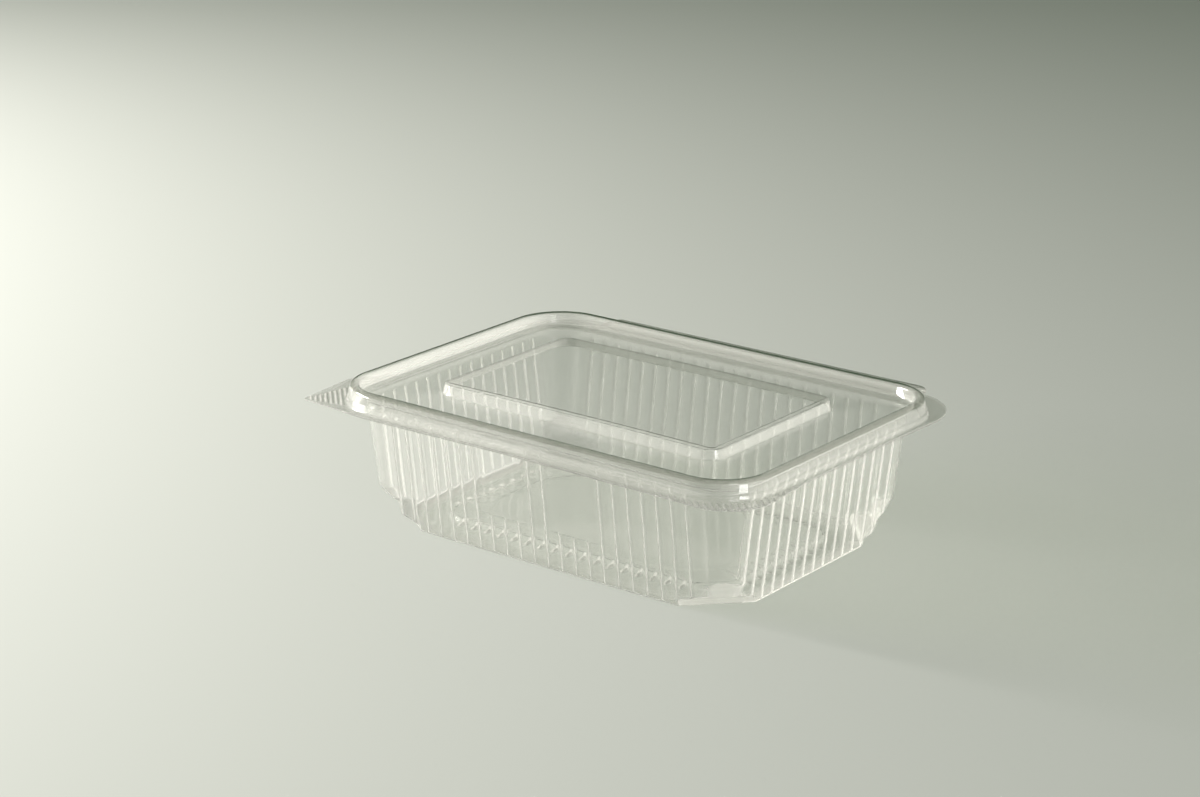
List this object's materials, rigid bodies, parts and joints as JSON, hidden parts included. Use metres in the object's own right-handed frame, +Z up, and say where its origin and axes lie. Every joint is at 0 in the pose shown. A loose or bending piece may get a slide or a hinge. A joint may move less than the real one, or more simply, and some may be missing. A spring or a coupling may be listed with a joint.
{
  "type": "takeaway meal container",
  "caption": "Shallow rectangular clear meal container with ribbed tapered walls and a hinged flat lid, shut and empty.",
  "frame": {"origin": "middle of the whole part's box, on the plane the tray stands on", "axes": "+X along the long sides, +Y towards the hinge, +Z up"},
  "size_m": [0.1972, 0.1528, 0.0525],
  "materials": {
    "clear_sheet": "clear, glossy thermoformed plastic sheet"
  },
  "bodies": {
    "tray_body": {"tray": "clear_sheet"},
    "lid_body": {"lid": "clear_sheet"}
  },
  "joints": [
    {"name": "lid_hinge", "type": "hinge", "parent": "tray_body", "child": "lid_body", "pos_m": [0.00452, 0.07649, 0.04515], "axis": [-1, 0, 0], "range_deg": [0, 180]}
  ]
}
